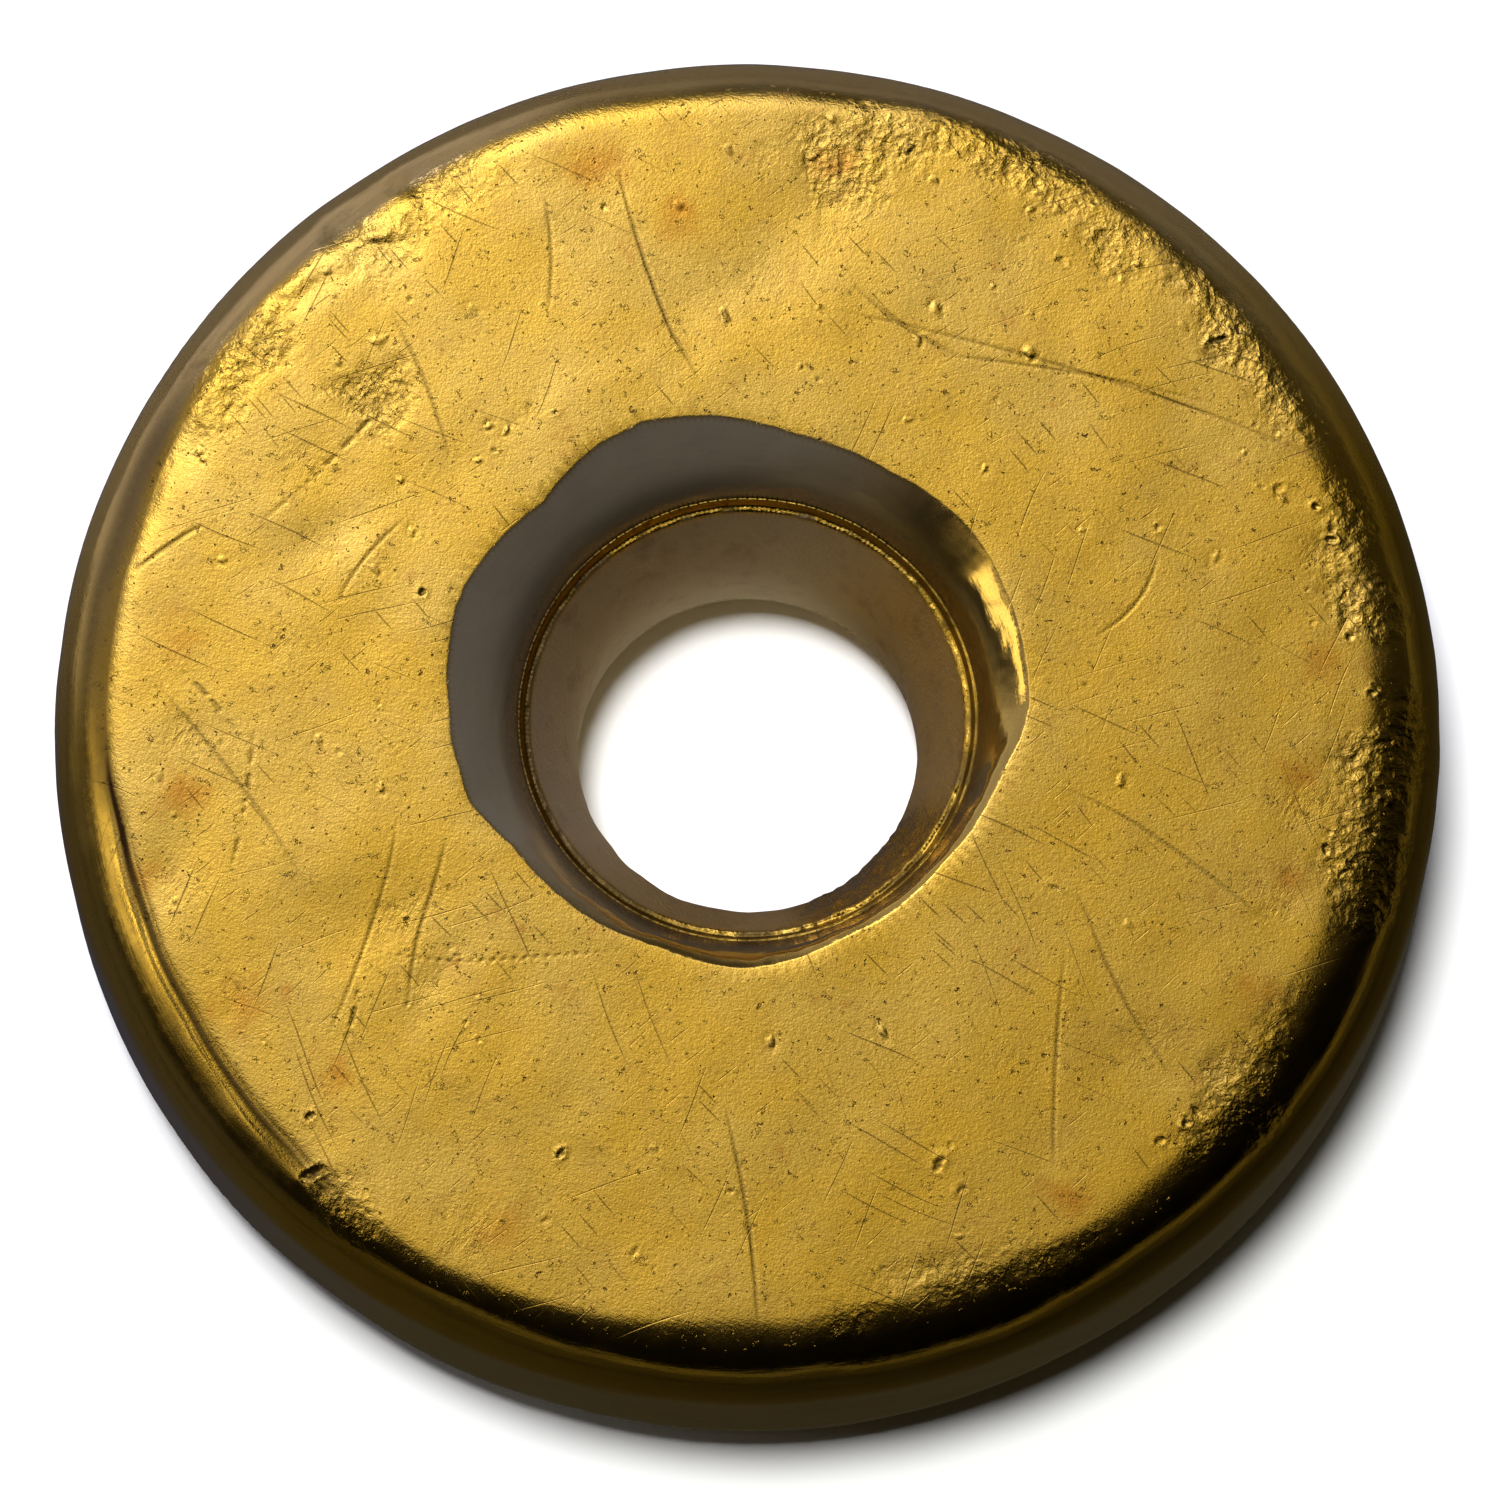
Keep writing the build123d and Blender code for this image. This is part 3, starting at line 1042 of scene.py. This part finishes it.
def metal():
    """Worn yellow metal: grain, hairlines, stains near the rim, painted shade on the steps, in corners and in
    bands of the rim and lip, and a grey film that is partly painted haze.
    """
    material = bpy.data.materials.new("yellow_metal_worn")
    tree = Tree(material)
    metres = tree.add("ShaderNodeTexCoord").outputs["Object"]
    place = tree.add("ShaderNodeVectorMath", {0: metres, "Scale": 1 / MM}, operation="SCALE").outputs[0]
    wear = wear_of_metal(tree, place)
    height = metal_height(tree, place, wear)
    bump = tree.add("ShaderNodeBump", {"Height": height, "Strength": 1.0, "Distance": MM})
    inputs = {
        "Base Color": metal_colour(tree, place, wear),
        # The grey film, partly dust and partly painted haze, is less metallic.
        "Metallic": tree.maths("SUBTRACT", 1.0, tree.times(wear.dust, 0.66)),
        "Roughness": metal_roughness(tree, wear),
        "Normal": bump.outputs[0],
    }
    surface = tree.add("ShaderNodeBsdfPrincipled", inputs)
    tree.add("ShaderNodeOutputMaterial", {"Surface": surface.outputs[0]})
    return material


# ------------------------------------------------------------
# The studio


def panel_overhead(tree, north, west):
    """A big soft panel between angles from the zenith, brighter towards the north-west."""
    times, step = tree.times, tree.step
    inside = times(
        step(north, -2.0, 1.0), step(north, 48.0, 44.0), step(west, -19.0, -15.0), step(west, 28.5, 25.5)
    )
    eastern_dusk = times(step(west, -2.0, -9.0), -0.31)
    western_dusk = times(step(west, 1.0, 7.0), step(north, 18.0, 14.5), -0.2)
    brightness = tree.plus(
        times(tree.maths("SUBTRACT", north, 15.0), 0.028),
        times(west, 0.002),
        times(step(north, 15.0, 20.0), step(west, 2.0, 9.0), 0.54),      # the hot corner
        times(step(north, 24.0, 36.0), step(west, 6.0, 16.0), 1.3),      # only tilted facets see this
        tree.plus(eastern_dusk, western_dusk),
        0.57,
    )
    return times(inside, tree.maths("MAXIMUM", brightness, 0.36))


def windows(tree, elevation, south_of_west):
    """Two windows in the west, the lower one brighter and farther north."""
    times, step = tree.times, tree.step

    def window(right, left, bottom, top, strength):
        soft = 4.0
        return times(
            step(south_of_west, right, right + soft),
            step(south_of_west, left, left - soft),
            step(elevation, *bottom),
            step(elevation, *top),
            strength,
        )

    low_window = window(-20.0, 14.0, (28.0, 32.0), (46.0, 43.0), 1.7)
    high_window = window(-4.0, 27.0, (47.0, 50.0), (57.0, 54.0), 0.8)
    return tree.maths("MAXIMUM", low_window, high_window)


def dim_room(tree, z, elevation, facing, north_west_turn, northern):
    """The room's parts, which add up: brightest in the north-west, and dark in the south-east."""
    times, step = tree.times, tree.step
    above = step(z, -0.2, 0.0)
    lobe = times(step(tree.maths("ABSOLUTE", north_west_turn), 44.0, 18.0), 0.30)
    walls = times(tree.plus(times(northern, 0.02), lobe, times(facing, 0.01)), above)
    low_sky = times(step(elevation, -8.0, 2.0), step(elevation, 18.0, 10.0))
    band = times(low_sky, tree.plus(times(facing, facing, 0.05), 0.02))
    dusk_sky = times(step(elevation, 8.0, 13.0), step(elevation, 21.0, 16.0))
    dusk = times(dusk_sky, step(facing, 0.6, 0.3), 0.06)
    below = times(step(z, 0.0, -0.2), tree.plus(times(facing, 0.05), 0.010))
    return walls, band, dusk, below


def studio_world():
    """What the metal reflects: a panel overhead, two windows and a dim room. The camera sees plain white."""
    world = bpy.data.worlds.new("studio")
    bpy.context.scene.world = world
    tree = Tree(world)
    direction = tree.add("ShaderNodeTexCoord").outputs["Generated"]
    x, y, z = tree.add("ShaderNodeSeparateXYZ", {"Vector": direction}).outputs
    west_x, south_y = tree.times(x, -1.0), tree.times(y, -1.0)

    def angle(operation, *values):
        return tree.times(tree.maths(operation, *values), 180 / math.pi)

    north, west = angle("ARCTAN2", y, z), angle("ARCTAN2", west_x, z)
    elevation, south_of_west = angle("ARCSINE", z), angle("ARCTAN2", south_y, west_x)
    north_west_turn = tree.maths("SUBTRACT", angle("ARCTAN2", y, west_x), 45.0)
    facing = tree.plus(tree.times(tree.plus(y, west_x), 0.7071, 0.5), 0.5)      # 1 in the north-west
    panel = panel_overhead(tree, north, west)
    room = dim_room(tree, z, elevation, facing, north_west_turn, tree.step(y, -0.1, 0.5))

    tint = tree.colour_mix(tree.step(facing, 0.52, 0.68), (1.0, 0.97, 0.7, 1), (0.95, 1.0, 1.6, 1))
    diffused = tree.add("ShaderNodeBackground", {"Color": tint, "Strength": tree.plus(panel, *room)})
    warm = {"Color": (1.0, 0.97, 0.85, 1), "Strength": windows(tree, elevation, south_of_west)}
    glazed = tree.add("ShaderNodeBackground", warm)
    studio = tree.add("ShaderNodeAddShader", {0: diffused.outputs[0], 1: glazed.outputs[0]})
    white = tree.add("ShaderNodeBackground", {"Color": (1, 1, 1, 1), "Strength": 1.0})
    seen = tree.add("ShaderNodeLightPath").outputs["Is Camera Ray"]
    mixed = tree.add("ShaderNodeMixShader", {0: seen, 1: studio.outputs[0], 2: white.outputs[0]})
    tree.add("ShaderNodeOutputWorld", {"Surface": mixed.outputs[0]})


def table():
    """A plain white floor under the token. Reflections don't show it."""
    half = 60 * RADIUS * MM
    corners = [(-half, -half, 0), (half, -half, 0), (half, half, 0), (-half, half, 0)]
    mesh = bpy.data.meshes.new("floor")
    mesh.from_pydata(corners, [], [(0, 1, 2, 3)])
    floor = bpy.data.objects.new("floor", mesh)
    bpy.context.scene.collection.objects.link(floor)
    floor.location.z = low.z
    material = bpy.data.materials.new("floor_white")
    tree = Tree(material)
    surface = tree.add("ShaderNodeBsdfDiffuse", {"Color": (0.93, 0.93, 0.91, 1)})
    tree.add("ShaderNodeOutputMaterial", {"Surface": surface.outputs[0]})
    floor.data.materials.append(material)
    floor.visible_glossy = False
    return floor


def floor_light(floor):
    """A soft light from the north-west that whitens only the floor, so that the token throws a shadow."""
    light = bpy.data.lights.new("floor_light", "SUN")
    light.energy = 3.3
    light.angle = math.radians(15)
    lamp = bpy.data.objects.new("floor_light", light)
    lamp.rotation_euler = (math.radians(-5), math.radians(-6), 0)
    bpy.context.scene.collection.objects.link(lamp)
    receivers = bpy.data.collections.new("floor_light_receivers")
    receivers.objects.link(floor)
    lamp.light_linking.receiver_collection = receivers


def camera():
    """Looks down from the south, 15 degrees off the vertical, with the token across most of the frame."""
    distance = 0.2
    tilt = math.radians(15)
    frame_share = 0.919
    middle = THICKNESS / 2 * MM
    half_width = RADIUS * MM / frame_share
    data = bpy.data.cameras.new("camera")
    data.lens = data.sensor_width / 2 * distance / half_width
    data.shift_x = 0.0017
    data.shift_y = -0.0056
    view = bpy.data.objects.new("camera", data)
    view.location = (0, -distance * math.sin(tilt), middle + distance * math.cos(tilt))
    view.rotation_euler = (tilt, 0, 0)
    bpy.context.scene.collection.objects.link(view)
    bpy.context.scene.camera = view


# ------------------------------------------------------------

token = build_token()
token.data.materials.append(metal())
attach(token, "root")
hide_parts("token_disc")

studio_world()
floor_light(table())
camera()
bpy.context.scene.view_settings.view_transform = "Standard"
